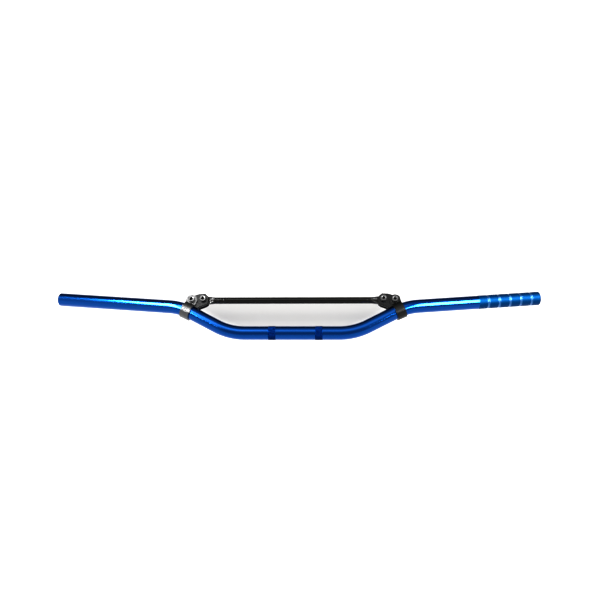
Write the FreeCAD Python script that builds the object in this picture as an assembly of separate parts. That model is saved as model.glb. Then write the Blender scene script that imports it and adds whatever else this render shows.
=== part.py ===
import FreeCAD, Part

import math
import os

from FreeCAD import Vector

# A motocross handlebar: a bent aluminium tube with a crossbar bolted across its two risers.
# It is drawn upright first: X runs along the bar, Z is the rise and Y is the sweep, all in mm,
# with the origin at the centre of the straight clamping section. Each right-hand piece is drawn
# at +X and mirrored to -X. Last of all, every piece is turned about X so that the bar lies on a
# flat surface, on its middle and its two ends.

# Bent tube. The corners are those of its centre line before the bends round them off
TUBE_DIAMETER = 22.2
TUBE_WALL = 4.1
OVERALL_WIDTH = 803.8
BAR_RISE = 82.6
BAR_SWEEP = 45.0
CLAMP_CORNER_SPACING = 200.0
RISER_CORNER_SPACING = 366.0
RISER_HEIGHT = 45.6
LOWER_BEND_RADIUS = 96.0
UPPER_BEND_RADIUS = 100.0
END_CHAMFER = 1.0
MOUTH_CHAMFER = 0.6

# Knurled bands where the stem clamps the tube: they lie a little towards +X of the middle
KNURL_SPACING = 75.0
KNURL_OFFSET = 6.0
KNURL_WIDTH = 12.0
KNURL_RISE = 0.15

# Ring grooves in the grip end at +X
RING_COUNT = 5
RING_FIRST = 16.2
RING_PITCH = 18.5
RING_WIDTH = 2.4
RING_DEPTH = 0.4

# Fasteners
SCREW_DIAMETER = 6.0
SCREW_HEAD_DIAMETER = 10.0
SCREW_HEAD_HEIGHT = 5.0
SCREW_HEAD_BEVEL = 0.4
HEX_KEY_SIZE = 5.0
HEX_KEY_DEPTH = 3.0
SCREW_TIP_CHAMFER = 0.5
THREAD_PROTRUSION = 1.5
HOLE_CLEARANCE = 0.2
THREAD_CLEARANCE = 0.05
NUT_SIZE = 10.0
NUT_HEIGHT = 4.8
NUT_COLLAR_DIAMETER = 8.6
NUT_COLLAR_HEIGHT = 1.4
WASHER_DIAMETER = 11.0
WASHER_THICKNESS = 1.6

# Band clamp: an omega-shaped strap round the tube that widens to two flat ears
BAND_STATION = 6.2
BAND_WIDTH = 15.5
EAR_WIDTH = 18.0
EAR_FLARE_START = 7.0
BAND_THICKNESS = 2.5
BAND_PLAY = 0.1
BAND_NECK_ROUND = 2.0
NECK_CLEARANCE = 0.1
EAR_LEAN = 1.4

# Fork: the block between the ears that holds the crossbar end in its slot
FORK_THICKNESS = 11.0
FORK_EDGE_BEVEL = 1.2
FORK_END_RADIUS = 8.2
FORK_SCREW_REACH = 18.2
FORK_SCREW_RISE = 2.3
FORK_NOSE_REACH = 9.0
FORK_NOSE_UP = 4.7
FORK_NOSE_DOWN = 6.9
FORK_CROWN_HEIGHT = 10.6
FORK_CROWN_START = 2.7
FORK_CROWN_END = 7.3
FORK_CROWN_DROP = 0.5
FORK_CHIN_BACK = 5.1
FORK_CHIN_DROP = 10.2
FORK_HEEL_REACH = 3.3
FORK_HEEL_DROP = 13.7
FORK_SEAT_PLAY = 0.1
SLOT_PLAY = 0.1
SLOT_END_CLEARANCE = 1.0

# Crossbar: a round rod with pressed flat ends
CROSSBAR_DIAMETER = 10.8
CROSSBAR_FLAT_THICKNESS = 5.0
CROSSBAR_FLAT_HEIGHT = 12.8
CROSSBAR_FLAT_REACH = 11.0
CROSSBAR_TAPER_LENGTH = 8.0

TUBE_RADIUS = TUBE_DIAMETER / 2
BORE_RADIUS = TUBE_RADIUS - TUBE_WALL
KNURL_RADIUS = TUBE_RADIUS + KNURL_RISE
ORIGIN = Vector(0, 0, 0)
ALONG_BAR = Vector(1, 0, 0)
TO_REAR = Vector(0, 1, 0)

# An edge is picked by the place of its middle, within this distance
PICK_TOLERANCE = 0.01
LYING_ANGLE_HALVINGS = 60


def unit(vector):
    return vector * (1.0 / vector.Length)


def path_corners():
    # The corners of the tube's centre line, from the middle out to the end at +X
    return [
        ORIGIN,
        Vector(CLAMP_CORNER_SPACING / 2, 0, 0),
        Vector(RISER_CORNER_SPACING / 2, 0, RISER_HEIGHT),
        Vector(OVERALL_WIDTH / 2, BAR_SWEEP, BAR_RISE),
    ]


def bend_at(before, corner, after, radius):
    # A bend tangent to both straight runs: where it starts and ends, its centre, axis and turn
    arriving = unit(corner - before)
    leaving = unit(after - corner)
    turn = arriving.getAngle(leaving)
    setback = radius * math.tan(turn / 2)
    axis = unit(arriving.cross(leaving))
    start = corner - arriving * setback
    return {
        "start": start,
        "end": corner + leaving * setback,
        "centre": start + axis.cross(arriving) * radius,
        "axis": axis,
        "turn": turn,
        "arriving": arriving,
    }


MIDDLE, CLAMP_CORNER, RISER_CORNER, BAR_END = path_corners()
LOWER_BEND = bend_at(MIDDLE, CLAMP_CORNER, RISER_CORNER, LOWER_BEND_RADIUS)
UPPER_BEND = bend_at(CLAMP_CORNER, RISER_CORNER, BAR_END, UPPER_BEND_RADIUS)
ARM_DIRECTION = unit(BAR_END - RISER_CORNER)


def lying_angle():
    # The turn about X that brings the lowest points of both ends level with the knurled bands'
    ring = BAR_END - ARM_DIRECTION * END_CHAMFER
    low, high = 0.0, math.pi / 2
    for _ in range(LYING_ANGLE_HALVINGS):
        angle = (low + high) / 2
        drop = -math.cos(angle) * ring.y + math.sin(angle) * ring.z
        slope = -math.cos(angle) * ARM_DIRECTION.y + math.sin(angle) * ARM_DIRECTION.z
        if drop - TUBE_RADIUS * math.sqrt(1 - slope * slope) < -KNURL_RADIUS:
            low = angle
        else:
            high = angle
    return angle


def lay_down(shape):
    lying = shape.copy()
    lying.rotate(ORIGIN, ALONG_BAR, math.degrees(lying_angle()) - 90)
    return lying


def mirrored(shape):
    return shape.mirror(ORIGIN, ALONG_BAR)


def disc(radius, hole_radius, centre, normal):
    wires = [Part.Wire(Part.makeCircle(radius, centre, normal))]
    if hole_radius > 0:
        wires.append(Part.Wire(Part.makeCircle(hole_radius, centre, normal)))
        return Part.makeFace(wires, "Part::FaceMakerBullseye")
    return Part.Face(wires[0])


def straight(radius, hole_radius, start, end):
    return disc(radius, hole_radius, start, end - start).extrude(end - start)


def bend(radius, hole_radius, data):
    face = disc(radius, hole_radius, data["start"], data["arriving"])
    return face.revolve(data["centre"], data["axis"], math.degrees(data["turn"]))


def half_tube(radius, hole_radius):
    # The solids of the right-hand half, from the middle to the end
    return [
        straight(radius, hole_radius, MIDDLE, LOWER_BEND["start"]),
        bend(radius, hole_radius, LOWER_BEND),
        straight(radius, hole_radius, LOWER_BEND["end"], UPPER_BEND["start"]),
        bend(radius, hole_radius, UPPER_BEND),
        straight(radius, hole_radius, UPPER_BEND["end"], BAR_END),
    ]


def end_chamfer_tool():
    # What the outer chamfer takes off the tube's end
    back = BAR_END - ARM_DIRECTION * END_CHAMFER
    sleeve = straight(TUBE_RADIUS + END_CHAMFER, 0, back, BAR_END)
    core = Part.makeCone(TUBE_RADIUS, TUBE_RADIUS - END_CHAMFER, END_CHAMFER, back, ARM_DIRECTION)
    return sleeve.cut(core)


def mouth_chamfer_tool():
    back = BAR_END - ARM_DIRECTION * MOUTH_CHAMFER
    return Part.makeCone(BORE_RADIUS, BORE_RADIUS + MOUTH_CHAMFER, MOUTH_CHAMFER, back, ARM_DIRECTION)


def ring_groove_tool(distance):
    # A ring of triangular section that leaves a V-shaped groove at a distance from the end. Its base
    # is as far outside the tube as its tip is inside, so it is twice as wide as the groove
    centre = BAR_END - ARM_DIRECTION * distance
    outward = unit(TO_REAR - ARM_DIRECTION * ARM_DIRECTION.y)
    half_base = ARM_DIRECTION * RING_WIDTH
    tip = centre + outward * (TUBE_RADIUS - RING_DEPTH)
    base = centre + outward * (TUBE_RADIUS + RING_DEPTH)
    face = Part.Face(Part.makePolygon([tip, base + half_base, base - half_base, tip]))
    return face.revolve(centre, ARM_DIRECTION, 360)


def knurl_band(centre_x):
    # A raised band with bevelled edges, sunk into the tube wall so that it joins it
    low = Vector(centre_x - KNURL_WIDTH / 2, 0, 0)
    inner = low + ALONG_BAR * KNURL_RISE
    flat = KNURL_WIDTH - 2 * KNURL_RISE
    band = Part.makeCone(TUBE_RADIUS, KNURL_RADIUS, KNURL_RISE, low, ALONG_BAR)
    band = band.fuse(Part.makeCylinder(KNURL_RADIUS, flat, inner, ALONG_BAR))
    far = inner + ALONG_BAR * flat
    band = band.fuse(Part.makeCone(KNURL_RADIUS, TUBE_RADIUS, KNURL_RISE, far, ALONG_BAR))
    core = Part.makeCylinder(TUBE_RADIUS - TUBE_WALL / 2, KNURL_WIDTH, low, ALONG_BAR)
    return band.cut(core)


def bar_tube():
    right = half_tube(TUBE_RADIUS, BORE_RADIUS)
    left = [mirrored(solid) for solid in right]
    tube = right[0].multiFuse(right[1:] + left).removeSplitter()
    bands = [knurl_band(KNURL_OFFSET + side * KNURL_SPACING / 2) for side in (-1, 1)]
    tube = tube.multiFuse(bands)
    chamfers = [end_chamfer_tool(), mouth_chamfer_tool()]
    grooves = [ring_groove_tool(RING_FIRST + k * RING_PITCH) for k in range(RING_COUNT)]
    return tube.cut(chamfers + [mirrored(tool) for tool in chamfers] + grooves)


def tube_at_band():
    # A point on the upper bend's centre line and the tube's direction there
    turn = BAND_STATION / UPPER_BEND_RADIUS
    spin = FreeCAD.Rotation(UPPER_BEND["axis"], math.degrees(turn))
    point = UPPER_BEND["centre"] + spin.multVec(UPPER_BEND["start"] - UPPER_BEND["centre"])
    return point, spin.multVec(UPPER_BEND["arriving"])


# The band and the fork are drawn about GRIP, in the plane of the rise
TUBE_POINT, TUBE_TANGENT = tube_at_band()
GRIP = Vector(TUBE_POINT.x, 0, TUBE_POINT.z)
ALONG_TUBE = unit(Vector(TUBE_TANGENT.x, 0, TUBE_TANGENT.z))
TO_EARS = Vector(-ALONG_TUBE.z, 0, ALONG_TUBE.x)
EAR_OUTER = FORK_THICKNESS / 2 + BAND_THICKNESS
WRAP_RADIUS = TUBE_RADIUS + BAND_PLAY + BAND_THICKNESS


def seat_tool(play):
    # A straight bore that clears the bent tube by the play, over the width of the band
    sag = (BAND_WIDTH / 2)**2 / (2 * UPPER_BEND_RADIUS)
    middle = TUBE_POINT + unit(UPPER_BEND["centre"] - TUBE_POINT) * (sag / 2)
    reach = TUBE_TANGENT * (2 * EAR_WIDTH)
    return straight(TUBE_RADIUS + play + sag / 2, 0, middle - reach, middle + reach)


def band_screw_height():
    # The screw stands clear of the rounded neck by the widest thing that seats on the ears
    neck_top = math.sqrt((WRAP_RADIUS + BAND_NECK_ROUND)**2 - (EAR_OUTER + BAND_NECK_ROUND)**2)
    return neck_top + max(WASHER_DIAMETER, SCREW_HEAD_DIAMETER) / 2 + NECK_CLEARANCE


BAND_SCREW = GRIP + TO_EARS * band_screw_height() + ALONG_TUBE * EAR_LEAN
CROSSBAR_SCREW = BAND_SCREW + Vector(-FORK_SCREW_REACH, 0, FORK_SCREW_RISE)


def screw_hole(point, half_depth):
    # A clearance hole for a screw along Y, from well in front of a piece to well behind it
    front = point - TO_REAR * half_depth
    return Part.makeCylinder(SCREW_DIAMETER / 2 + HOLE_CLEARANCE, 2 * half_depth, front, TO_REAR)


def band_outline():
    # The band seen along Y: straight sides round the tube, a flare and a round end about the screw
    half = BAND_WIDTH / 2
    bottom = -TO_EARS * (WRAP_RADIUS + BAND_THICKNESS)
    flare = TO_EARS * EAR_FLARE_START
    ear_left = BAND_SCREW - ALONG_TUBE * (EAR_WIDTH / 2)
    ear_right = BAND_SCREW + ALONG_TUBE * (EAR_WIDTH / 2)
    crown = BAND_SCREW + TO_EARS * (EAR_WIDTH / 2)
    right = [ear_right] + [GRIP + ALONG_TUBE * half + level for level in (flare, bottom)]
    left = [GRIP - ALONG_TUBE * half + level for level in (bottom, flare)] + [ear_left]
    points = right + left
    edges = [Part.makeLine(a, b) for a, b in zip(points, points[1:])]
    edges.append(Part.Arc(ear_left, crown, ear_right).toShape())
    return Part.Wire(edges)


def flat_box(half_length, half_thickness, height):
    # A box that stands on the tube's axis at the band, flat in the plane of the rise
    box = Part.makeBox(2 * half_thickness, 2 * half_length, height)
    corner = GRIP + ALONG_TUBE * half_length - TO_REAR * half_thickness
    box.Placement = FreeCAD.Placement(corner, FreeCAD.Rotation(TO_REAR, -ALONG_TUBE, TO_EARS, "ZXY"))
    return box


def neck_edges(shape):
    # The two edges along the tube where the outer faces of the ears meet the wrap
    height = math.sqrt(WRAP_RADIUS**2 - EAR_OUTER**2)
    found = []
    for edge in shape.Edges:
        middle = edge.CenterOfMass - GRIP
        level = abs(middle.dot(TO_EARS) - height) < PICK_TOLERANCE
        aside = abs(abs(middle.y) - EAR_OUTER) < PICK_TOLERANCE
        if level and aside:
            found.append(edge)
    return found


def band_clamp():
    # An omega section as long as the ears are wide, trimmed to the band's outline
    start = GRIP - ALONG_TUBE * EAR_WIDTH
    wrap = Part.makeCylinder(WRAP_RADIUS, 2 * EAR_WIDTH, start, ALONG_TUBE)
    height = band_screw_height() + EAR_WIDTH
    band = wrap.fuse(flat_box(EAR_WIDTH, EAR_OUTER, height)).removeSplitter()
    band = band.makeFillet(BAND_NECK_ROUND, neck_edges(band))
    face = Part.Face(band_outline())
    face.translate(-TO_REAR * 2 * WRAP_RADIUS)
    band = band.common(face.extrude(TO_REAR * 4 * WRAP_RADIUS))
    mouth = flat_box(2 * EAR_WIDTH, FORK_THICKNESS / 2, height)
    hole = screw_hole(BAND_SCREW, EAR_OUTER * 2)
    return band.cut([seat_tool(BAND_PLAY), mouth, hole])


def fork_outline():
    # The nose holds the crossbar screw, and the round end fits between the ears
    nose = CROSSBAR_SCREW
    heel = nose + Vector(FORK_HEEL_REACH, 0, -FORK_HEEL_DROP)
    chin = nose + Vector(-FORK_CHIN_BACK, 0, -FORK_CHIN_DROP)
    crown = nose + Vector(FORK_CROWN_END, 0, FORK_CROWN_HEIGHT - FORK_CROWN_DROP)
    foot_right = GRIP + ALONG_TUBE * FORK_END_RADIUS
    foot_left = GRIP - ALONG_TUBE * FORK_END_RADIUS
    side = BAND_SCREW + ALONG_TUBE * FORK_END_RADIUS
    reach = crown - BAND_SCREW
    lean = math.acos(FORK_END_RADIUS / reach.Length)
    spin = FreeCAD.Rotation(TO_REAR, math.degrees(lean))
    touch = BAND_SCREW + spin.multVec(unit(reach)) * FORK_END_RADIUS
    shoulder = BAND_SCREW + unit(touch - BAND_SCREW + side - BAND_SCREW) * FORK_END_RADIUS
    points = [
        crown,
        nose + Vector(-FORK_CROWN_START, 0, FORK_CROWN_HEIGHT),
        nose + Vector(-FORK_NOSE_REACH, 0, FORK_NOSE_UP),
        nose + Vector(-FORK_NOSE_REACH, 0, -FORK_NOSE_DOWN),
        chin,
        heel,
        foot_left,
        foot_right,
        side,
    ]
    edges = [Part.makeLine(a, b) for a, b in zip(points, points[1:])]
    edges.append(Part.Arc(side, shoulder, touch).toShape())
    edges.append(Part.makeLine(touch, crown))
    return Part.Wire(edges)


def crossbar_fork():
    # The block with bevelled rims, seated on the tube, slotted for the crossbar and drilled twice
    half = FORK_THICKNESS / 2
    face = Part.Face(fork_outline())
    face.translate(-TO_REAR * half)
    block = face.extrude(TO_REAR * FORK_THICKNESS)
    rims = [e for e in block.Edges if abs(abs(e.CenterOfMass.y) - half) < PICK_TOLERANCE]
    block = block.makeChamfer(FORK_EDGE_BEVEL, rims)
    slot_width = CROSSBAR_FLAT_THICKNESS + 2 * SLOT_PLAY
    slot_end = CROSSBAR_SCREW.x + CROSSBAR_FLAT_HEIGHT / 2 + SLOT_END_CLEARANCE
    slot_start = CROSSBAR_SCREW.x - 2 * FORK_NOSE_REACH
    slot_height = 2 * (FORK_CROWN_HEIGHT + FORK_HEEL_DROP)
    corner = Vector(slot_start, -slot_width / 2, CROSSBAR_SCREW.z - slot_height / 2)
    slot = Part.makeBox(slot_end - slot_start, slot_width, slot_height, corner)
    holes = [screw_hole(BAND_SCREW, FORK_THICKNESS), screw_hole(CROSSBAR_SCREW, FORK_THICKNESS)]
    return block.cut([seat_tool(FORK_SEAT_PLAY), slot] + holes)


def press_tools():
    # What is pressed away in front of and behind the rod's end: a slope, then a flat
    flat_start = CROSSBAR_SCREW.x - CROSSBAR_FLAT_REACH
    taper_start = flat_start - CROSSBAR_TAPER_LENGTH
    far_end = CROSSBAR_SCREW.x + CROSSBAR_FLAT_HEIGHT
    half = CROSSBAR_FLAT_THICKNESS / 2
    low = CROSSBAR_SCREW.z - CROSSBAR_FLAT_HEIGHT
    tools = []
    for side in (-1, 1):
        points = [
            Vector(taper_start, side * CROSSBAR_DIAMETER / 2, low),
            Vector(flat_start, side * half, low),
            Vector(far_end, side * half, low),
            Vector(far_end, side * CROSSBAR_FLAT_HEIGHT, low),
            Vector(taper_start, side * CROSSBAR_FLAT_HEIGHT, low),
        ]
        face = Part.Face(Part.makePolygon(points + points[:1]))
        tools.append(face.extrude(Vector(0, 0, 2 * CROSSBAR_FLAT_HEIGHT)))
    return tools


def crossbar_profile():
    # Half of the rod's lengthwise section: it widens towards each end, to a ball about the screw
    flat_start = CROSSBAR_SCREW.x - CROSSBAR_FLAT_REACH
    end_radius = CROSSBAR_FLAT_HEIGHT / 2
    diagonal = end_radius / math.sqrt(2)
    level = Vector(0, 0, CROSSBAR_SCREW.z)
    shoulder = level + Vector(flat_start - CROSSBAR_TAPER_LENGTH, 0, CROSSBAR_DIAMETER / 2)
    flat = level + Vector(flat_start, 0, end_radius)
    cheek = level + Vector(CROSSBAR_SCREW.x, 0, end_radius)
    swell = level + Vector(CROSSBAR_SCREW.x + diagonal, 0, diagonal)
    tip = level + Vector(CROSSBAR_SCREW.x + end_radius, 0, 0)
    right = [
        Part.makeLine(shoulder, flat),
        Part.makeLine(flat, cheek),
        Part.Arc(cheek, swell, tip).toShape(),
        Part.makeLine(level, tip),
        Part.makeLine(level + Vector(0, 0, CROSSBAR_DIAMETER / 2), shoulder),
    ]
    edges = right + [mirrored(edge) for edge in right]
    return Part.Face(Part.Wire(Part.sortEdges(edges)[0]))


def crossbar():
    # The rod's ends are pressed flat and drilled
    blank = crossbar_profile().revolve(CROSSBAR_SCREW, ALONG_BAR, 360).removeSplitter()
    tools = press_tools() + [screw_hole(CROSSBAR_SCREW, FORK_THICKNESS)]
    return blank.cut(tools + [mirrored(tool) for tool in tools])


def hexagon(across_flats, centre):
    points = []
    for k in range(7):
        angle = math.radians(60 * k)
        radius = across_flats / math.sqrt(3)
        points.append(centre + Vector(radius * math.cos(angle), 0, radius * math.sin(angle)))
    return Part.Face(Part.makePolygon(points))


def socket_screw(point, seat_y, nut_seat_y):
    # The head sits on the front face at -seat_y, and the tip stands proud of the nut
    seat = point - TO_REAR * seat_y
    shank_length = seat_y + nut_seat_y + NUT_HEIGHT + NUT_COLLAR_HEIGHT + THREAD_PROTRUSION
    top = seat - TO_REAR * SCREW_HEAD_HEIGHT
    head = Part.makeCylinder(SCREW_HEAD_DIAMETER / 2, SCREW_HEAD_HEIGHT, seat, -TO_REAR)
    rim = [e for e in head.Edges if abs(e.CenterOfMass.y - top.y) < PICK_TOLERANCE]
    head = head.makeChamfer(SCREW_HEAD_BEVEL, rim)
    socket = hexagon(HEX_KEY_SIZE, top).extrude(TO_REAR * HEX_KEY_DEPTH)
    body = SCREW_DIAMETER / 2
    plain = shank_length - SCREW_TIP_CHAMFER
    shank = Part.makeCylinder(body, plain, seat, TO_REAR)
    tip_start = seat + TO_REAR * plain
    tip = Part.makeCone(body, body - SCREW_TIP_CHAMFER, SCREW_TIP_CHAMFER, tip_start, TO_REAR)
    return head.multiFuse([shank, tip]).removeSplitter().cut(socket)


def washer(point, seat_y):
    seat = point + TO_REAR * seat_y
    hole = SCREW_DIAMETER / 2 + HOLE_CLEARANCE
    return straight(WASHER_DIAMETER / 2, hole, seat, seat + TO_REAR * WASHER_THICKNESS)


def lock_nut(point, seat_y):
    # A hexagon with bevelled corners under the round collar that holds the locking ring
    seat = point + TO_REAR * seat_y
    body = hexagon(NUT_SIZE, seat).extrude(TO_REAR * NUT_HEIGHT)
    corner = NUT_SIZE / math.sqrt(3)
    bevel = Part.makeCone(corner + NUT_HEIGHT, NUT_SIZE / 2, corner + NUT_HEIGHT - NUT_SIZE / 2,
                          seat, TO_REAR)
    body = body.common(bevel)
    top = seat + TO_REAR * NUT_HEIGHT
    collar = Part.makeCylinder(NUT_COLLAR_DIAMETER / 2, NUT_COLLAR_HEIGHT, top, TO_REAR)
    bore = SCREW_DIAMETER / 2 + THREAD_CLEARANCE
    hole = Part.makeCylinder(bore, NUT_HEIGHT + NUT_COLLAR_HEIGHT, seat, TO_REAR)
    return body.fuse(collar).cut(hole)


def right_hand_pieces():
    band_nut_seat = EAR_OUTER + WASHER_THICKNESS
    fork_face = FORK_THICKNESS / 2
    crossbar_nut_seat = fork_face + WASHER_THICKNESS
    return {
        "band_clamp": band_clamp(),
        "crossbar_fork": crossbar_fork(),
        "band_screw": socket_screw(BAND_SCREW, EAR_OUTER, band_nut_seat),
        "band_washer": washer(BAND_SCREW, EAR_OUTER),
        "band_nut": lock_nut(BAND_SCREW, band_nut_seat),
        "crossbar_screw": socket_screw(CROSSBAR_SCREW, fork_face, crossbar_nut_seat),
        "crossbar_washer": washer(CROSSBAR_SCREW, fork_face),
        "crossbar_nut": lock_nut(CROSSBAR_SCREW, crossbar_nut_seat),
    }


def all_pieces():
    pieces = {"bar_tube": bar_tube(), "crossbar": crossbar()}
    for name, shape in right_hand_pieces().items():
        pieces["right_" + name] = shape
        pieces["left_" + name] = mirrored(shape)
    return pieces


def main():
    os.makedirs("parts", exist_ok=True)
    for name, shape in all_pieces().items():
        lying = lay_down(shape)
        lying.exportStep("parts/" + name + ".step")
        box = lying.BoundBox
        print(name, lying.isValid(), len(lying.Solids), round(lying.Volume, 1),
              [round(v, 2) for v in (box.XMin, box.YMin, box.ZMin, box.XMax, box.YMax, box.ZMax)])


main()
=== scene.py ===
import math

import bpy
from mathutils import Matrix, Vector


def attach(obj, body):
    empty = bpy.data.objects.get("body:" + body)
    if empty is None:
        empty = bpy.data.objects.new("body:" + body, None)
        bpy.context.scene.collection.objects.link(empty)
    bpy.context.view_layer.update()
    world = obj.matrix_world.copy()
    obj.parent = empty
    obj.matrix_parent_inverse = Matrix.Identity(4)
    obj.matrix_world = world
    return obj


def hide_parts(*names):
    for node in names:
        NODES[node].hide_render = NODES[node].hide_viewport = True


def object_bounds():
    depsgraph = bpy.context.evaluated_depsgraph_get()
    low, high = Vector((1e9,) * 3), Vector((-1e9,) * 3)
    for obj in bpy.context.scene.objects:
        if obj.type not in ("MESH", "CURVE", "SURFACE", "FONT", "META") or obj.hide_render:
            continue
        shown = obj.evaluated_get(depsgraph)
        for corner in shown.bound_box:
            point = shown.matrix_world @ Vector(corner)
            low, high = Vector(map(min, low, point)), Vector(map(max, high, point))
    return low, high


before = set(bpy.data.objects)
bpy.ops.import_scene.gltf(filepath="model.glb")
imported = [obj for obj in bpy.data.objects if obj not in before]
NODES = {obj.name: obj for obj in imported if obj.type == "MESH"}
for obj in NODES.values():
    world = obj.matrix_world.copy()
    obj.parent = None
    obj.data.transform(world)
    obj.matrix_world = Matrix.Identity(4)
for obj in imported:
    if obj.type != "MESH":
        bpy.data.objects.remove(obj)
CAD_LOW, CAD_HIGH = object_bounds()
MM = 0.001

# Bent tube, drawn upright first: X along the bar, Y the sweep, Z the rise
TUBE_RADIUS = 11.1 * MM
BORE_RADIUS = 7.0 * MM
OVERALL_WIDTH = 803.8 * MM
BAR_RISE = 82.6 * MM
BAR_SWEEP = 45.0 * MM
CLAMP_CORNER_SPACING = 200.0 * MM
RISER_CORNER_SPACING = 366.0 * MM
RISER_HEIGHT = 45.6 * MM
LOWER_BEND_RADIUS = 96.0 * MM
UPPER_BEND_RADIUS = 100.0 * MM
END_CHAMFER = 1.0 * MM
MOUTH_CHAMFER = 0.6 * MM
LYING_ANGLE_HALVINGS = 60

# Knurled bands where the stem clamps the tube
KNURL_SPACING = 75.0 * MM
KNURL_OFFSET = 6.0 * MM
KNURL_WIDTH = 12.0 * MM
KNURL_RISE = 0.15 * MM
KNURL_DEPTH = 0.22 * MM
KNURL_RAMP = 0.8 * MM
KNURL_TEETH = 58
STEPS_PER_TOOTH = 4

# Ring grooves and the blasted zone at the end towards +X
RING_COUNT = 5
RING_FIRST = 16.2 * MM
RING_PITCH = 18.5 * MM
RING_WIDTH = 2.4 * MM
RING_DEPTH = 0.4 * MM
RING_STEPS = 10
RING_LAND = 0.6 * MM
BLASTED_LENGTH = 106.0 * MM

# The tube's finishes, in the order of its material slots; EDGE, on the chamfers and end faces, is painted
# shade
BRIGHT, BLASTED, KNURLED, TURNED, EDGE = range(5)

# Socket screws, with the sizes of the solids that they replace
HEAD_RADIUS = 5.0 * MM
HEAD_HEIGHT = 5.0 * MM
HEAD_BEVEL = 0.4 * MM
HEAD_RIDGE = 0.18 * MM
HEAD_RIM = 0.9 * MM
HEAD_FOOT = 0.4 * MM
RIDGE_START = 0.1 * MM
HEX_APOTHEM = 2.5 * MM
HEX_DEPTH = 3.0 * MM
HEX_CHAMFER = 0.25 * MM
SHANK_RADIUS = 3.0 * MM
THREAD_PITCH = 1.0 * MM
THREAD_DEPTH = 0.5 * MM
THREAD_LENGTH = 12.0 * MM
RINGS_PER_THREAD = 4
TIP_CHAMFER = 0.5 * MM
TIP_TOLERANCE = 0.01 * MM
TIP_DIGITS = 6
SCREW_STEPS = 72
# Slot of the near-black material on the socket's bottom and walls: painted shade in the recess
SOCKET_PAINTED_SHADE = 1

# Rounded edges of the bands and forks, and the angle from which the skins' edges are sharp
EDGE_ROUNDING = 0.6 * MM
ROUNDING_STEPS = 2
ROUNDED_FROM = math.radians(35)
SHARP_FROM = math.radians(25)

# Marks of the press on the crossbar's ends
PRESS_MARKS_FROM = 108.0 * MM
PRESS_MARKS_BLEND = 3.0 * MM
PRESS_MARK_SCALE = 380
PRESS_MARK_DEPTH = 0.8 * MM

# The grain of black metal and of steel: what it does to the colour and the roughness
BLACK_LIGHTER = 1.5
BLACK_LIFT = 0.003
BLACK_ROUGHER = 0.08
STEEL_DARKER = 0.8
STEEL_ROUGHER = 0.1
GRAIN_SMOOTHER = 0.06

# How finely the tube is divided
AROUND = KNURL_TEETH * STEPS_PER_TOOTH
KNURL_STEPS = 40
RAMP_STEPS = 6
BEND_STEP = 2.5 * MM
RUN_STEP = 20.0 * MM
MARK_DIGITS = 8

# Camera, fitted to the photograph's outline of the bar
CAMERA_PLACE = Vector((0.11885274, -1.17463557, 0.90588885))
CAMERA_HEADING = 5.006268603
CAMERA_TILT = 35.49905513
CAMERA_ROLL = -3.05586982
CAMERA_LENS = 55.86
SENSOR_WIDTH = 36
CLIP_START = 0.01
CLIP_END = 50

# The floor glows of itself, though it is no lamp: painted light, even over the floor and stronger where
# it fills the bar's shadow, faded out to painted shade where the floor shows through the frame
FLOOR_SIZE = 8.0
FLOOR_GLOW = 0.37
SHADOW_GLOW = 0.5
SHADOW_WIDTH = 14.0 * MM
SHADOW_SPREAD = 0.6
SHADOW_REACH = 3
SHADOW_POINTS = 60
FLOOR_STEP = 3.0 * MM
FINE_FLOOR_X = (-450 * MM, 450 * MM)
FINE_FLOOR_Y = (-60 * MM, 180 * MM)
PAINTED_SHADE_OUTLINE = [(x * MM, y * MM) for x, y in (
    (-87, 25), (-105, 36), (-123, 47), (-142, 64), (-161, 78), (-166, 98), (-139, 110),
    (128, 109), (151, 99), (148, 74), (133, 60), (117, 47), (100, 33), (88, 23), (0, 20), (-70, 20))]
FRAME_SOFTNESS = 12.0 * MM

# The studio's panels, placed by what the tube mirrors. No two have the same height, so none hides another
PANELS = (
    # name, middle x, middle y, height, width, length, turn in degrees, radiance
    ("left_softbox", -1.29, -0.5, 1.5, 0.43, 1.3, -14, 55),
    ("right_softbox", 1.45, -0.92, 1.51, 0.56, 1.6, 15, 45),
    ("left_strip", -0.76, -0.53, 1.52, 0.16, 0.76, -34, 3.3),
    ("left_square", -0.66, -0.02, 1.53, 0.32, 0.4, 0, 10),
    ("ceiling", -0.2, -0.28, 1.54, 1.6, 1.1, 0, 0.65),
    ("ceiling_ridge", -0.1, -0.27, 1.55, 1.0, 0.3, 0, 0.45),
    ("ceiling_strip", -0.31, -0.22, 1.56, 0.24, 0.65, 0, 1.0),
)

# The room round them: its light is the sum of slopes, each over one part of the direction
ROOM_SLOPES = (
    # axis, start, stop, light at the start, light at the stop
    ("Y", 0.3, -0.6, 0.08, 0.42),
    ("Z", 0.55, 0.0, 0.0, 0.3),
    ("Z", 0.6, 0.92, 0.0, 0.4),
    ("X", -0.4, -0.8, 0.0, 0.45),
    ("X", 0.4, 0.8, 0.0, 0.3),
)
BACKDROP = 0.8
SKIES = (
    # name, strength, width in degrees, lean in degrees
    ("dome", 0.28, 160, 0),
    ("overhead", 0.38, 40, 8),
)


def clamped(value):
    return min(1.0, max(0.0, value))


def eased(share):
    """A share from 0 to 1 with a gentle start and stop."""
    return share * share * (3 - 2 * share)


def spread(low, high, count):
    return [low + (high - low) * k / count for k in range(count + 1)]


def bend_at(before, corner, after, radius):
    """A bend tangent to both straight runs."""
    arriving = (corner - before).normalized()
    leaving = (after - corner).normalized()
    turn = arriving.angle(leaving)
    setback = radius * math.tan(turn / 2)
    axis = arriving.cross(leaving).normalized()
    start = corner - arriving * setback
    return {
        "start": start,
        "end": corner + leaving * setback,
        "centre": start + axis.cross(arriving) * radius,
        "axis": axis,
        "arriving": arriving,
        "radius": radius,
        "length": turn * radius,
    }


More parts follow.
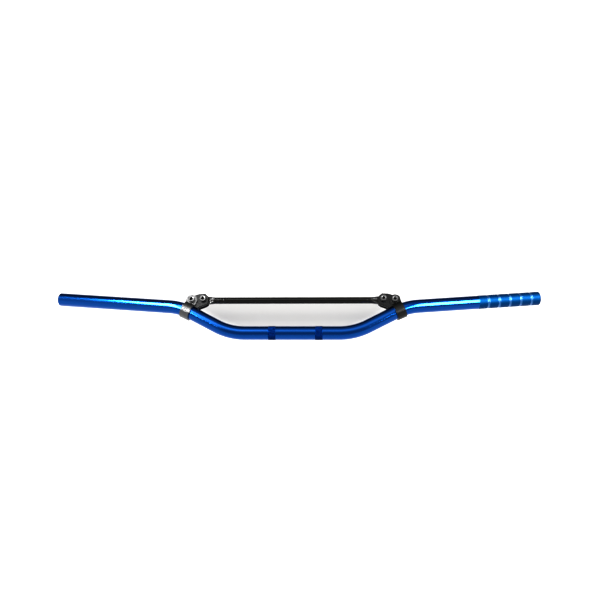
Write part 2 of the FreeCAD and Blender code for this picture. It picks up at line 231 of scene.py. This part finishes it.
MIDDLE = Vector((0, 0, 0))
CLAMP_CORNER = Vector((CLAMP_CORNER_SPACING / 2, 0, 0))
RISER_CORNER = Vector((RISER_CORNER_SPACING / 2, 0, RISER_HEIGHT))
BAR_END = Vector((OVERALL_WIDTH / 2, BAR_SWEEP, BAR_RISE))
LOWER_BEND = bend_at(MIDDLE, CLAMP_CORNER, RISER_CORNER, LOWER_BEND_RADIUS)
UPPER_BEND = bend_at(CLAMP_CORNER, RISER_CORNER, BAR_END, UPPER_BEND_RADIUS)
ARM_DIRECTION = (BAR_END - RISER_CORNER).normalized()


def lying_angle():
    """The turn about X that lays the tube on its knurled bands and its two ends."""
    ring = BAR_END - ARM_DIRECTION * END_CHAMFER
    low, high = 0.0, math.pi / 2
    for _ in range(LYING_ANGLE_HALVINGS):
        angle = (low + high) / 2
        drop = -math.cos(angle) * ring.y + math.sin(angle) * ring.z
        slope = -math.cos(angle) * ARM_DIRECTION.y + math.sin(angle) * ARM_DIRECTION.z
        if drop - TUBE_RADIUS * math.sqrt(1 - slope * slope) < -(TUBE_RADIUS + KNURL_RISE):
            low = angle
        else:
            high = angle
    return angle


LAY_DOWN = Matrix.Rotation(lying_angle() - math.pi / 2, 3, "X")


def half_spans():
    """The runs and bends of the right-hand half, each with the distance at which it starts."""
    spans = []
    start = 0.0
    run_start = MIDDLE
    for bend in (LOWER_BEND, UPPER_BEND):
        run = bend["start"] - run_start
        spans.append({"at": start, "length": run.length, "start": run_start, "along": run.normalized()})
        start += run.length
        spans.append({"at": start, "length": bend["length"], "bend": bend})
        start += bend["length"]
        run_start = bend["end"]
    run = BAR_END - run_start
    spans.append({"at": start, "length": run.length, "start": run_start, "along": run.normalized()})
    return spans


SPANS = half_spans()
HALF_LENGTH = SPANS[-1]["at"] + SPANS[-1]["length"]


def place(distance):
    """The centre line's point and direction at a distance from the middle, negative towards -X."""
    along = abs(distance)
    span = next((s for s in SPANS if along <= s["at"] + s["length"]), SPANS[-1])
    into = along - span["at"]
    if "bend" in span:
        bend = span["bend"]
        spin = Matrix.Rotation(into / bend["radius"], 3, bend["axis"])
        point = bend["centre"] + spin @ (bend["start"] - bend["centre"])
        direction = spin @ bend["arriving"]
    else:
        point = span["start"] + span["along"] * into
        direction = span["along"].copy()
    if distance < 0:
        point = Vector((-point.x, point.y, point.z))
        direction = Vector((direction.x, -direction.y, -direction.z))
    return LAY_DOWN @ point, LAY_DOWN @ direction


def knurl_centres():
    return [KNURL_OFFSET + side * KNURL_SPACING / 2 for side in (-1, 1)]


def ring_centres():
    return [HALF_LENGTH - RING_FIRST - k * RING_PITCH for k in range(RING_COUNT)]


def plain_marks():
    """Distances of the rings of points that the runs and bends need, on both halves."""
    marks = []
    for span in SPANS:
        step = BEND_STEP if "bend" in span else RUN_STEP
        count = max(1, round(span["length"] / step))
        marks += spread(span["at"], span["at"] + span["length"], count)
    return marks + [-m for m in marks]


def outer_marks():
    """Distances of all rings of points on the outside, in order from the end at -X."""
    marks = [m for m in plain_marks() if abs(m) < HALF_LENGTH - END_CHAMFER]
    for centre in knurl_centres():
        half = KNURL_WIDTH / 2
        marks = [m for m in marks if abs(m - centre) > half]
        flat = half - KNURL_RAMP
        marks += spread(centre - half, centre - flat, RAMP_STEPS)
        marks += spread(centre - flat, centre + flat, KNURL_STEPS)
        marks += spread(centre + flat, centre + half, RAMP_STEPS)
    for centre in ring_centres():
        half = RING_WIDTH / 2
        marks = [m for m in marks if abs(m - centre) > half]
        marks += spread(centre - half, centre + half, RING_STEPS)
        marks += [centre - half - RING_LAND, centre + half + RING_LAND]
    marks.append(HALF_LENGTH - BLASTED_LENGTH)
    marks += [HALF_LENGTH - END_CHAMFER, END_CHAMFER - HALF_LENGTH]
    return sorted(set(round(m, MARK_DIGITS) for m in marks))


def tooth(turns):
    """0 in a groove of the knurl and 1 half way to the next."""
    return 1 - abs(2 * (turns % 1.0) - 1)


def knurl_height(across, k):
    """Height over the plain tube at a distance from the band's middle and a step round it."""
    flat = KNURL_WIDTH / 2 - KNURL_RAMP
    if abs(across) > flat:
        climb = 1 - (abs(across) - flat) / KNURL_RAMP
        return KNURL_RISE * eased(climb)
    length = 2 * flat / KNURL_STEPS * STEPS_PER_TOOTH
    around = k / STEPS_PER_TOOTH
    height = min(tooth(around + across / length), tooth(around - across / length))
    return (KNURL_RISE + KNURL_DEPTH) * height - KNURL_DEPTH


def groove_depth(across):
    """Depth of a round-bottomed ring groove at a distance from its middle."""
    tool = (RING_WIDTH**2 / 4 + RING_DEPTH**2) / (2 * RING_DEPTH)
    return math.sqrt(max(0.0, tool**2 - across**2)) - (tool - RING_DEPTH)


def outer_radius(distance, k):
    for centre in knurl_centres():
        if abs(distance - centre) <= KNURL_WIDTH / 2:
            return TUBE_RADIUS + knurl_height(distance - centre, k)
    for centre in ring_centres():
        if abs(distance - centre) <= RING_WIDTH / 2:
            return TUBE_RADIUS - max(0.0, groove_depth(distance - centre))
    return TUBE_RADIUS


def tube_profile():
    """All rings of the tube's skin in order: the outside, the mouth at +X, the bore, the mouth at -X."""
    rings = [(-HALF_LENGTH, lambda k: TUBE_RADIUS - END_CHAMFER)]
    for mark in outer_marks():
        rings.append((mark, lambda k, mark=mark: outer_radius(mark, k)))
    rings.append((HALF_LENGTH, lambda k: TUBE_RADIUS - END_CHAMFER))
    rings.append((HALF_LENGTH, lambda k: BORE_RADIUS + MOUTH_CHAMFER))
    bore = [m for m in plain_marks() if abs(m) < HALF_LENGTH - MOUTH_CHAMFER]
    bore += [HALF_LENGTH - MOUTH_CHAMFER, MOUTH_CHAMFER - HALF_LENGTH]
    for mark in sorted(set(round(m, MARK_DIGITS) for m in bore), reverse=True):
        rings.append((mark, lambda k: BORE_RADIUS))
    rings.append((-HALF_LENGTH, lambda k: BORE_RADIUS + MOUTH_CHAMFER))
    return rings


def new_piece(name, points, faces):
    mesh = bpy.data.meshes.new(name)
    mesh.from_pydata(points, [], faces)
    mesh.update()
    piece = bpy.data.objects.new(name, mesh)
    bpy.context.scene.collection.objects.link(piece)
    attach(piece, "root")
    return piece


def smooth_but_for_edges(mesh):
    mesh.shade_smooth()
    mesh.set_sharp_from_angle(angle=SHARP_FROM)


def finish_at(distance):
    """Which of its finishes the tube has at a distance from the middle."""
    if abs(distance) > HALF_LENGTH - END_CHAMFER:
        return EDGE
    if any(abs(distance - centre) < RING_WIDTH / 2 + RING_LAND for centre in ring_centres()):
        return TURNED
    if distance > HALF_LENGTH - BLASTED_LENGTH:
        return BLASTED
    if any(abs(distance - centre) < KNURL_WIDTH / 2 for centre in knurl_centres()):
        return KNURLED
    return BRIGHT


def bar_tube():
    rings = tube_profile()
    points = []
    for distance, radius in rings:
        centre, direction = place(distance)
        up = (Vector((0, 0, 1)) - direction * direction.z).normalized()
        side = direction.cross(up)
        for k in range(AROUND):
            angle = 2 * math.pi * k / AROUND
            points.append(centre + (up * math.cos(angle) + side * math.sin(angle)) * radius(k))
    faces = []
    for row in range(len(rings)):
        after = (row + 1) % len(rings)
        for k in range(AROUND):
            beside = (k + 1) % AROUND
            faces.append((row * AROUND + k, row * AROUND + beside,
                          after * AROUND + beside, after * AROUND + k))
    tube = new_piece("bar_tube_skin", points, faces)
    mesh = tube.data
    follow = mesh.uv_layers.new(name="along_and_round")
    for face in mesh.polygons:
        row, k = divmod(face.index, AROUND)
        here = rings[row][0]
        there = rings[(row + 1) % len(rings)][0]
        corners = ((here, k), (here, k + 1), (there, k + 1), (there, k))
        for loop, (distance, step) in zip(face.loop_indices, corners):
            follow.data[loop].uv = (distance, step / AROUND * 2 * math.pi * TUBE_RADIUS)
        face.material_index = finish_at((here + there) / 2)
    smooth_but_for_edges(mesh)
    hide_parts("bar_tube")
    for finish in (bright_anodised(), blasted_anodised(), knurled_anodised(),
                   turned_anodised(), painted_shade_edge()):
        mesh.materials.append(finish)


def hexagon(k):
    """Distance of the socket's wall from the screw's axis at a step round it."""
    turn = math.radians(360 * k / SCREW_STEPS % 60 - 30)
    return HEX_APOTHEM / math.cos(turn)


def screw_profile(length):
    """All rings of a screw in order, from the bottom of its socket over the head to the tip."""
    def ridged(k):
        return HEAD_RADIUS - HEAD_RIDGE * (k % 2)

    rings = [
        (HEX_DEPTH, hexagon),
        (HEX_CHAMFER, hexagon),
        (0.0, lambda k: HEX_APOTHEM * 2 / math.sqrt(3) + HEX_CHAMFER),
        (0.0, lambda k: HEAD_RADIUS - HEAD_BEVEL),
        (HEAD_BEVEL, lambda k: HEAD_RADIUS),
        (HEAD_RIM - RIDGE_START, lambda k: HEAD_RADIUS),
        (HEAD_RIM, ridged),
        (HEAD_HEIGHT - HEAD_FOOT - RIDGE_START, ridged),
        (HEAD_HEIGHT - HEAD_FOOT, lambda k: HEAD_RADIUS),
        (HEAD_HEIGHT, lambda k: HEAD_RADIUS),
        (HEAD_HEIGHT, lambda k: SHANK_RADIUS),
    ]
    end = length - TIP_CHAMFER
    count = round(RINGS_PER_THREAD * THREAD_LENGTH / THREAD_PITCH)
    for depth in spread(end - THREAD_LENGTH, end, count):
        rings.append((depth, lambda k, depth=depth: SHANK_RADIUS - THREAD_DEPTH
                      * tooth(depth / THREAD_PITCH + k / SCREW_STEPS)))
    rings.append((length, lambda k: SHANK_RADIUS - TIP_CHAMFER))
    return rings


def socket_screw(node_name, finishes):
    """A screw with a ridged head, a hexagon socket and a thread, set where the solid is."""
    side = Vector((1, 0, 0))
    up = LAY_DOWN @ Vector((0, 0, 1))
    rear = LAY_DOWN @ Vector((0, 1, 0))
    solid = [v.co for v in NODES[node_name].data.vertices]
    tip = max(p.dot(rear) for p in solid)
    length = tip - min(p.dot(rear) for p in solid)
    rim = set(tuple(round(c, TIP_DIGITS) for c in p) for p in solid if p.dot(rear) > tip - TIP_TOLERANCE)
    tip_middle = sum((Vector(p) for p in rim), Vector()) / len(rim)
    crown = tip_middle - rear * length
    rings = screw_profile(length)
    points = []
    for depth, radius in rings:
        for k in range(SCREW_STEPS):
            angle = 2 * math.pi * k / SCREW_STEPS
            outward = side * math.cos(angle) + up * math.sin(angle)
            points.append(crown + rear * depth + outward * radius(k))
    faces = [tuple(range(SCREW_STEPS))]
    for row in range(len(rings) - 1):
        for k in range(SCREW_STEPS):
            here = row * SCREW_STEPS + k
            beside = row * SCREW_STEPS + (k + 1) % SCREW_STEPS
            faces.append((here, here + SCREW_STEPS, beside + SCREW_STEPS, beside))
    faces.append(tuple(reversed(range(len(points) - SCREW_STEPS, len(points)))))
    screw = new_piece(node_name + "_skin", points, faces)
    # The socket's bottom and walls take the near-black material: painted shade
    for face in screw.data.polygons:
        if face.index <= SCREW_STEPS:
            face.material_index = SOCKET_PAINTED_SHADE
    smooth_but_for_edges(screw.data)
    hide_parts(node_name)
    for finish in finishes:
        screw.data.materials.append(finish)


def socket_screws():
    # The second material is near-black: painted shade inside the hexagon socket
    finishes = (bright_steel("screw_steel", (0.12, 0.12, 0.12), roughness=0.28),
                satin_black("dark_socket", (0.003, 0.003, 0.003), roughness=0.7, gloss=0.1,
                            grain_scale=1500))
    for name in [n for n in NODES if n.endswith("_screw")]:
        socket_screw(name, finishes)


class Surface:
    """A material with one Principled shader, and short ways to feed its sockets."""

    def __init__(self, name, colour, metallic, roughness):
        self.material = bpy.data.materials.new(name)
        self.material.use_nodes = True
        self.nodes = self.material.node_tree.nodes
        self.links = self.material.node_tree.links
        self.shader = self.nodes["Principled BSDF"]
        self.set("Base Color", (*colour, 1))
        self.set("Metallic", metallic)
        self.set("Roughness", roughness)

    def set(self, socket, value):
        self.shader.inputs[socket].default_value = value

    def coordinates(self, kind, stretch=(1, 1, 1)):
        source = self.nodes.new("ShaderNodeTexCoord")
        mapping = self.nodes.new("ShaderNodeMapping")
        mapping.inputs["Scale"].default_value = stretch
        self.links.new(source.outputs[kind], mapping.inputs["Vector"])
        return mapping.outputs["Vector"]

    def noise(self, vector, scale, detail=2.0):
        node = self.nodes.new("ShaderNodeTexNoise")
        node.inputs["Scale"].default_value = scale
        node.inputs["Detail"].default_value = detail
        self.links.new(vector, node.inputs["Vector"])
        return node.outputs["Fac"]

    def ramp(self, value, low, high):
        """A value between 0 and 1 turned into one between low and high."""
        node = self.nodes.new("ShaderNodeMapRange")
        node.inputs["To Min"].default_value = low
        node.inputs["To Max"].default_value = high
        self.links.new(value, node.inputs["Value"])
        return node.outputs["Result"]

    def colours(self, value, low, high):
        """A value between 0 and 1 turned into a colour between two."""
        node = self.nodes.new("ShaderNodeMix")
        node.data_type = "RGBA"
        node.inputs["A"].default_value = (*low, 1)
        node.inputs["B"].default_value = (*high, 1)
        self.links.new(value, node.inputs["Factor"])
        return node.outputs["Result"]

    def beyond(self, distance):
        """1 where a point lies further from the middle plane than a distance, and 0 inside it."""
        parts = self.nodes.new("ShaderNodeSeparateXYZ")
        self.links.new(self.coordinates("Object"), parts.inputs["Vector"])
        size = self.nodes.new("ShaderNodeMath")
        size.operation = "ABSOLUTE"
        self.links.new(parts.outputs["X"], size.inputs[0])
        node = self.nodes.new("ShaderNodeMapRange")
        node.inputs["From Min"].default_value = distance
        node.inputs["From Max"].default_value = distance + PRESS_MARKS_BLEND
        self.links.new(size.outputs["Value"], node.inputs["Value"])
        return node.outputs["Result"]

    def times(self, first, second):
        node = self.nodes.new("ShaderNodeMath")
        node.operation = "MULTIPLY"
        self.links.new(first, node.inputs[0])
        self.links.new(second, node.inputs[1])
        return node.outputs["Value"]

    def feed(self, output, socket):
        self.links.new(output, self.shader.inputs[socket])

    def bump(self, height, distance):
        node = self.nodes.new("ShaderNodeBump")
        node.inputs["Distance"].default_value = distance
        self.links.new(height, node.inputs["Height"])
        self.feed(node.outputs["Normal"], "Normal")


def bright_anodised():
    """Blue anodised aluminium with faint drawing lines along the tube."""
    surface = Surface("bright_blue_anodised", (0.0, 0.056, 0.24), metallic=1.0, roughness=0.14)
    surface.set("Coat Weight", 0.24)
    surface.set("Coat Roughness", 0.1)
    surface.set("Coat IOR", 1.5)
    lines = surface.noise(surface.coordinates("UV", stretch=(8, 900, 1)), scale=1.0, detail=3.0)
    surface.feed(surface.ramp(lines, low=0.12, high=0.16), "Roughness")
    surface.feed(surface.colours(lines, (0.0, 0.053, 0.23), (0.0, 0.06, 0.255)), "Base Color")
    surface.bump(lines, 0.0006 * MM)
    return surface.material


def blasted_anodised():
    """The matte end that the grip goes on."""
    surface = Surface("blasted_blue_anodised", (0.0, 0.037, 0.12), metallic=1.0, roughness=0.57)
    surface.set("Coat Weight", 0.05)
    surface.set("Coat Roughness", 0.5)
    grain = surface.noise(surface.coordinates("Object"), scale=4200)
    surface.feed(surface.ramp(grain, low=0.52, high=0.62), "Roughness")
    surface.feed(surface.colours(grain, (0.0, 0.033, 0.11), (0.0, 0.041, 0.13)), "Base Color")
    surface.bump(grain, 0.03 * MM)
    return surface.material


def turned_anodised():
    """The bright turned bottoms and lips of the ring grooves."""
    surface = Surface("turned_blue_anodised", (0.0, 0.085, 0.26), metallic=1.0, roughness=0.4)
    surface.set("Coat Weight", 1.0)
    surface.set("Coat Roughness", 0.36)
    lines = surface.noise(surface.coordinates("UV", stretch=(2500, 12, 1)), scale=1.0)
    surface.feed(surface.ramp(lines, low=0.36, high=0.44), "Roughness")
    surface.feed(surface.colours(lines, (0.0, 0.08, 0.25), (0.0, 0.09, 0.27)), "Base Color")
    return surface.material


def painted_shade_edge():
    """The chamfers and end faces at the tube's ends, in a near-black blue: painted shade on the end rims.
    """
    surface = Surface("edge_blue_anodised", (0.0, 0.006, 0.035), metallic=1.0, roughness=0.5)
    grain = surface.noise(surface.coordinates("Object"), scale=1500)
    surface.feed(surface.ramp(grain, low=0.42, high=0.58), "Roughness")
    surface.feed(surface.colours(grain, (0.0, 0.004, 0.028), (0.0, 0.008, 0.042)), "Base Color")
    return surface.material


def knurled_anodised():
    """The worn anodising on the teeth of the knurled bands."""
    surface = Surface("knurled_blue_anodised", (0.0, 0.017, 0.085), metallic=1.0, roughness=0.48)
    grain = surface.noise(surface.coordinates("Object"), scale=800)
    surface.feed(surface.ramp(grain, low=0.32, high=0.6), "Roughness")
    surface.feed(surface.colours(grain, (0.0, 0.0, 0.01), (0.0, 0.035, 0.17)), "Base Color")
    return surface.material


def satin_black(name, colour, roughness, gloss, grain_scale, relief=0.01 * MM, dents_from=None):
    """Black metal. Its relief is a fine grain, or press marks beyond a distance from the middle."""
    surface = Surface(name, colour, metallic=0.0, roughness=roughness)
    surface.set("Specular IOR Level", gloss)
    grain = surface.noise(surface.coordinates("Object"), grain_scale, detail=3.0)
    lighter = tuple(BLACK_LIGHTER * c + BLACK_LIFT for c in colour)
    surface.feed(surface.ramp(grain, roughness - GRAIN_SMOOTHER, roughness + BLACK_ROUGHER), "Roughness")
    surface.feed(surface.colours(grain, colour, lighter), "Base Color")
    height = grain
    if dents_from:
        dents = surface.noise(surface.coordinates("Object"), PRESS_MARK_SCALE, detail=1.0)
        height = surface.times(dents, surface.beyond(dents_from))
    surface.bump(height, relief)
    return surface.material


def bright_steel(name, colour, roughness):
    surface = Surface(name, colour, metallic=1.0, roughness=roughness)
    grain = surface.noise(surface.coordinates("Object"), scale=1500, detail=3.0)
    darker = tuple(STEEL_DARKER * c for c in colour)
    surface.feed(surface.ramp(grain, roughness - GRAIN_SMOOTHER, roughness + STEEL_ROUGHER), "Roughness")
    surface.feed(surface.colours(grain, darker, colour), "Base Color")
    surface.bump(grain, 0.005 * MM)
    return surface.material


def soften_edges(node):
    rounding = node.modifiers.new("rounded_edges", "BEVEL")
    rounding.width = EDGE_ROUNDING
    rounding.segments = ROUNDING_STEPS
    rounding.limit_method = "ANGLE"
    rounding.angle_limit = ROUNDED_FROM


def dress_nodes():
    """The finish of every node but the tube and the screws, and rounded edges on bands and forks."""
    black_bar = satin_black("satin_black_crossbar", (0.004, 0.004, 0.003), roughness=0.17, gloss=0.25,
                            grain_scale=1200, relief=PRESS_MARK_DEPTH, dents_from=PRESS_MARKS_FROM)
    black_fork = satin_black("satin_black_fork", (0.004, 0.004, 0.004), roughness=0.26, gloss=0.25,
                             grain_scale=900, relief=0.03 * MM)
    # The two bands are one black metal in two copies: the left lighter and glossier, painted light; the
    # right darker and duller, painted shade
    lit_copy_band = satin_black("gloss_black_band", (0.012, 0.012, 0.011), roughness=0.29, gloss=1.0,
                            grain_scale=420, relief=0.3 * MM)
    shaded_copy_band = satin_black("satin_black_band", (0.008, 0.008, 0.007), roughness=0.28, gloss=0.22,
                             grain_scale=1500)
    plated = bright_steel("plated_steel", (0.62, 0.62, 0.6), roughness=0.3)
    finishes = {
        "crossbar": black_bar, "crossbar_fork": black_fork,
        "left_band_clamp": lit_copy_band, "right_band_clamp": shaded_copy_band,
        "band_washer": plated, "crossbar_washer": plated, "band_nut": plated, "crossbar_nut": plated,
    }
    for name, node in NODES.items():
        kind = name.replace("left_", "").replace("right_", "")
        finish = finishes.get(name) or finishes.get(kind)
        if finish:
            node.data.materials.clear()
            node.data.materials.append(finish)
        if kind in ("crossbar_fork", "band_clamp"):
            soften_edges(node)


def depth_inside_frame(x, y):
    """How far a point of the floor lies inside the outline where it shows through the frame."""
    inside = False
    nearest = FLOOR_SIZE
    for k, (ax, ay) in enumerate(PAINTED_SHADE_OUTLINE):
        bx, by = PAINTED_SHADE_OUTLINE[k - 1]
        if (ay > y) != (by > y) and x < ax + (bx - ax) * (y - ay) / (by - ay):
            inside = not inside
        length = (bx - ax) ** 2 + (by - ay) ** 2
        share = clamped(((x - ax) * (bx - ax) + (y - ay) * (by - ay)) / length)
        nearest = min(nearest, math.hypot(x - ax - share * (bx - ax), y - ay - share * (by - ay)))
    return nearest if inside else -nearest


def shadow_line():
    """Points of the tube's centre line, each with its height over the floor."""
    line = []
    for distance in spread(-HALF_LENGTH, HALF_LENGTH, SHADOW_POINTS):
        point, _ = place(distance)
        line.append((point.x, point.y, point.z - CAD_LOW.z))
    return line


def floor_lines(low, high):
    """Where the floor's mesh is divided: finely near the bar, and once at each far edge."""
    count = round((high - low) / FLOOR_STEP)
    return [-FLOOR_SIZE / 2] + spread(low, high, count) + [FLOOR_SIZE / 2]


def glow_at(x, y, line):
    """The floor's painted glow at a point: strongest where it fills the bar's shadow, none inside the
    frame.
    """
    shade = 0.0
    for bar_x, bar_y, height in line:
        away = math.hypot(x - bar_x, y - bar_y) / (SHADOW_WIDTH + SHADOW_SPREAD * height)
        if away < SHADOW_REACH:
            shade = max(shade, math.exp(-away * away))
    outside = clamped(0.5 - 0.5 * depth_inside_frame(x, y) / FRAME_SOFTNESS)
    return (FLOOR_GLOW + SHADOW_GLOW * shade) * eased(outside)


def floor():
    across = floor_lines(*FINE_FLOOR_X)
    along = floor_lines(*FINE_FLOOR_Y)
    points = [(x, y, CAD_LOW.z) for y in along for x in across]
    row = len(across)
    faces = [(j * row + i, j * row + i + 1, (j + 1) * row + i + 1, (j + 1) * row + i)
             for j in range(len(along) - 1) for i in range(row - 1)]
    mesh = bpy.data.meshes.new("floor")
    mesh.from_pydata(points, [], faces)
    # The floor's emission is the painted glow: painted light in the bar's shadow, painted shade through
    # the frame
    glow = mesh.attributes.new("glow", "FLOAT", "POINT")
    line = shadow_line()
    for k, (x, y, _) in enumerate(points):
        glow.data[k].value = glow_at(x, y, line)
    plane = bpy.data.objects.new("floor", mesh)
    bpy.context.scene.collection.objects.link(plane)
    surface = Surface("white_floor", (0.91, 0.9, 0.885), metallic=0.0, roughness=0.6)
    surface.set("Specular IOR Level", 0.2)
    surface.set("Emission Color", (1, 1, 1, 1))
    strength = surface.nodes.new("ShaderNodeAttribute")
    strength.attribute_name = "glow"
    surface.feed(strength.outputs["Fac"], "Emission Strength")
    mesh.materials.append(surface.material)


def panel(name, x, y, height, width, length, turn, radiance):
    """A softbox that faces straight down. Only glossy surfaces see it."""
    light = bpy.data.lights.new(name, "AREA")
    light.shape = "RECTANGLE"
    light.size = width
    light.size_y = length
    light.energy = radiance * math.pi * width * length
    lamp = bpy.data.objects.new(name, light)
    lamp.location = (x, y, height)
    lamp.rotation_euler = (0, 0, math.radians(turn))
    lamp.visible_diffuse = False
    lamp.visible_camera = False
    bpy.context.scene.collection.objects.link(lamp)


def sky(name, strength, width, lean):
    """Soft even light from above. Only matt surfaces see it."""
    light = bpy.data.lights.new(name, "SUN")
    light.energy = strength
    light.angle = math.radians(width)
    lamp = bpy.data.objects.new(name, light)
    lamp.rotation_euler = (math.radians(lean), 0, 0)
    lamp.visible_glossy = False
    bpy.context.scene.collection.objects.link(lamp)


def room():
    """A grey room, darkest at the rear. The camera sees a white backdrop in its place."""
    world = bpy.data.worlds.new("studio")
    bpy.context.scene.world = world
    world.use_nodes = True
    nodes = world.node_tree.nodes
    links = world.node_tree.links
    direction = nodes.new("ShaderNodeTexCoord")
    parts = nodes.new("ShaderNodeSeparateXYZ")
    links.new(direction.outputs["Generated"], parts.inputs["Vector"])

    def slope(axis, *limits):
        node = nodes.new("ShaderNodeMapRange")
        node.interpolation_type = "SMOOTHSTEP"
        for socket, value in zip(("From Min", "From Max", "To Min", "To Max"), limits):
            node.inputs[socket].default_value = value
        links.new(parts.outputs[axis], node.inputs["Value"])
        return node.outputs["Result"]

    total = slope(*ROOM_SLOPES[0])
    for row in ROOM_SLOPES[1:]:
        added = nodes.new("ShaderNodeMath")
        links.new(total, added.inputs[0])
        links.new(slope(*row), added.inputs[1])
        total = added.outputs["Value"]
    path = nodes.new("ShaderNodeLightPath")
    seen = nodes.new("ShaderNodeMix")
    links.new(path.outputs["Is Camera Ray"], seen.inputs["Factor"])
    links.new(total, seen.inputs["A"])
    seen.inputs["B"].default_value = BACKDROP
    links.new(seen.outputs["Result"], nodes["Background"].inputs["Strength"])
    nodes["Background"].inputs["Color"].default_value = (1, 1, 1, 1)


def studio():
    for row in PANELS:
        panel(*row)
    for row in SKIES:
        sky(*row)
    room()


def camera():
    data = bpy.data.cameras.new("camera")
    data.lens = CAMERA_LENS
    data.sensor_width = SENSOR_WIDTH
    data.clip_start = CLIP_START
    data.clip_end = CLIP_END
    eye = bpy.data.objects.new("camera", data)
    turn = (Matrix.Rotation(math.radians(CAMERA_HEADING), 4, "Z")
            @ Matrix.Rotation(math.radians(90 - CAMERA_TILT), 4, "X")
            @ Matrix.Rotation(math.radians(CAMERA_ROLL), 4, "Z"))
    eye.matrix_world = Matrix.Translation(CAMERA_PLACE) @ turn
    bpy.context.scene.collection.objects.link(eye)
    bpy.context.scene.camera = eye
    bpy.context.scene.view_settings.view_transform = "Standard"
    bpy.context.scene.view_settings.look = "High Contrast"


camera()
floor()
studio()
bar_tube()
dress_nodes()
socket_screws()
